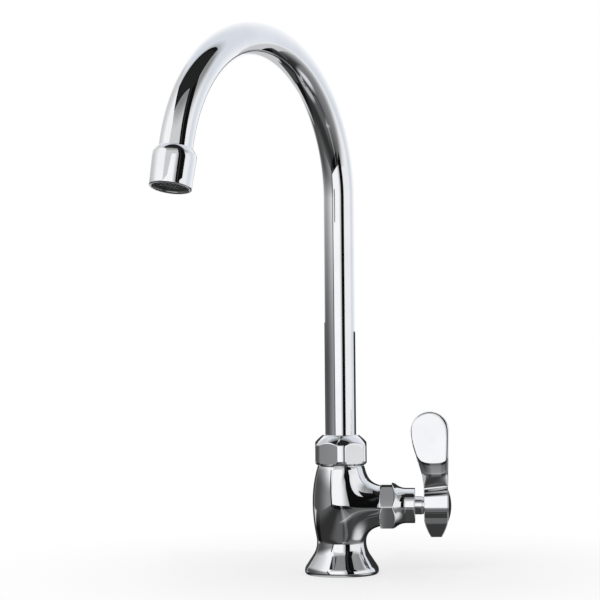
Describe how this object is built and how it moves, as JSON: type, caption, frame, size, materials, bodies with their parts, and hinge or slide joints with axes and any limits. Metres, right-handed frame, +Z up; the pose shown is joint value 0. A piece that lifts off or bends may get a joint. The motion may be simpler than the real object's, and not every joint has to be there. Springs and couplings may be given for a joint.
{
  "type": "gooseneck bar faucet",
  "caption": "Gooseneck bar faucet with a cast body, a swivelling spout with an aerator and a quarter-turn side lever.",
  "frame": {"origin": "centre of the foot's underside, where the faucet stands on the deck", "axes": "+Z up along the column, +X along the valve stem towards the lever, -Y towards the user"},
  "size_m": [0.1696, 0.2029, 0.3433],
  "materials": {
    "polished_chrome": "polished chrome plate on cast and drawn brass",
    "bare_brass": "machined brass",
    "black_rubber": "moulded rubber",
    "white_plastic": "moulded plastic",
    "dark_plastic": "dark moulded plastic",
    "pale_ceramic": "lapped ceramic",
    "bright_steel": "stainless steel"
  },
  "bodies": {
    "tap": {"body": "polished_chrome", "base_gasket": "black_rubber", "spout_nut": "polished_chrome", "slip_ring": "white_plastic", "bonnet": "polished_chrome", "bonnet_seal": "black_rubber", "disc_cage": "white_plastic", "fixed_disc": "pale_ceramic", "seat_seal": "black_rubber", "thrust_washer": "white_plastic"},
    "spout": {"spout_ferrule": "bare_brass", "ferrule_seal_upper": "black_rubber", "ferrule_seal_lower": "black_rubber", "spout_tube": "polished_chrome", "outlet_adapter": "bare_brass", "aerator_shell": "polished_chrome", "aerator_washer": "black_rubber", "aerator_insert": "white_plastic", "aerator_screen": "bright_steel", "aerator_grille": "dark_plastic"},
    "handle": {"valve_stem": "bare_brass", "stem_seal_outer": "black_rubber", "stem_seal_inner": "black_rubber", "stem_clip": "bright_steel", "moving_disc": "pale_ceramic", "lever": "polished_chrome", "lever_screw": "bright_steel", "index_cap": "polished_chrome"}
  },
  "joints": [
    {"name": "spout_swivel", "type": "hinge", "parent": "tap", "child": "spout", "pos_m": [0, 0, 0.07], "axis": [0, 0, 1], "continuous": true},
    {"name": "lever_turn", "type": "hinge", "parent": "tap", "child": "handle", "pos_m": [0.05, 0, 0.0435], "axis": [1, 0, 0], "range_deg": [0, 90]}
  ]
}
